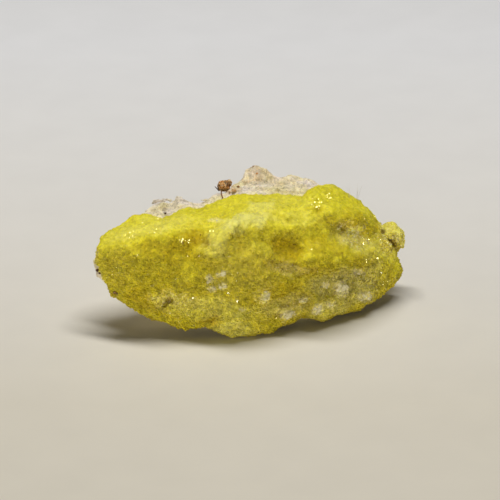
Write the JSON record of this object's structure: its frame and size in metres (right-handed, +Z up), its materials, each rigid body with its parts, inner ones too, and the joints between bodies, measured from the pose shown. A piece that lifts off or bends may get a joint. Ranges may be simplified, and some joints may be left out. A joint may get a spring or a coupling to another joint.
{
  "type": "native sulfur mineral specimen",
  "caption": "Lumpy mass of small grown sulfur crystals with stubby pale crystals, on a pale host rock with a rusty nodule; lies on its flat base.",
  "frame": {"origin": "under the middle of the specimen's box, on the surface it rests on", "axes": "+X along the specimen's length, to the right as the yellow face is looked at; -Y out of the yellow face; +Z up"},
  "size_m": [0.0902, 0.045, 0.0384],
  "materials": {
    "sulfur": "sugary crystals, slightly translucent, with small bright faces",
    "host_rock": "matt, grainy, whitish with tan stains",
    "rust": "matt, crusty"
  },
  "bodies": {
    "root": {"sulfur_mass": "sulfur", "host_rock": "host_rock", "rusty_nodule": "rust"}
  },
  "joints": []
}
